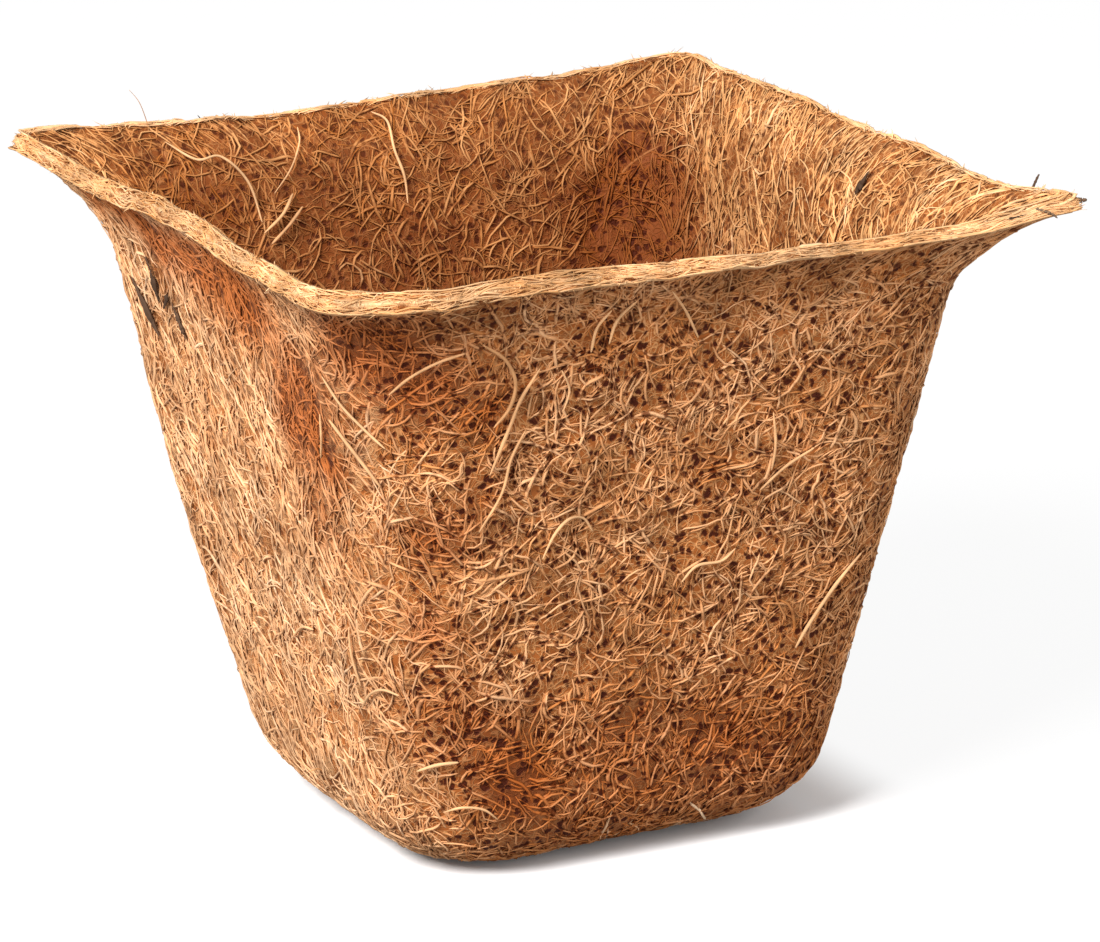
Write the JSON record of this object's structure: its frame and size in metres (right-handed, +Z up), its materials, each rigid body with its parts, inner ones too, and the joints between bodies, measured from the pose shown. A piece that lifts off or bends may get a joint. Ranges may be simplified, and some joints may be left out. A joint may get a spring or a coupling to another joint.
{
  "type": "coir plant pot",
  "caption": "Square tapered plant pot pressed from coconut fibre felt, open at the top, with a bell mouth drawn out into thin corner ears, loose fibres and husk slivers on its walls.",
  "frame": {"origin": "centre of the floor's underside, on the surface that the pot stands on", "axes": "+Z up out of the mouth; the sides of the square brim face X and Y; the blunt corner of the brim is at -X -Y"},
  "size_m": [0.1, 0.1, 0.0847],
  "materials": {
    "coir_felt": "matte",
    "coir_fibre": "matte",
    "husk": "matte"
  },
  "bodies": {
    "root": {"felt_pot": "coir_felt", "inner_curl_fibre": "coir_fibre", "inner_twin_fibre_upper": "coir_fibre", "inner_twin_fibre_lower": "coir_fibre", "inner_left_strand": "coir_fibre", "inner_back_strand": "coir_fibre", "front_cross_fibre": "coir_fibre", "front_bundle_fibre": "coir_fibre", "front_sweep_fibre_upper": "coir_fibre", "front_sweep_fibre_lower": "coir_fibre", "front_upright_fibre_left": "coir_fibre", "front_rim_fibre_left": "coir_fibre", "front_rim_fibre_middle": "coir_fibre", "front_rim_fibre_right": "coir_fibre", "front_hook_fibre": "coir_fibre", "front_middle_fibre": "coir_fibre", "front_upright_fibre_right": "coir_fibre", "front_slant_fibre": "coir_fibre", "front_right_fibre": "coir_fibre", "corner_fibre_upper": "coir_fibre", "corner_fibre_middle": "coir_fibre", "left_upright_fibre_upper": "coir_fibre", "left_upright_fibre_lower": "coir_fibre", "left_short_fibre": "coir_fibre", "foot_arc_fibre": "coir_fibre", "foot_star_fibre": "coir_fibre", "foot_edge_fibre": "coir_fibre", "husk_sliver_long": "husk", "husk_sliver_forked": "husk", "husk_sliver_prong": "husk", "husk_sliver_short": "husk", "inner_husk_sliver": "husk"}
  },
  "joints": []
}
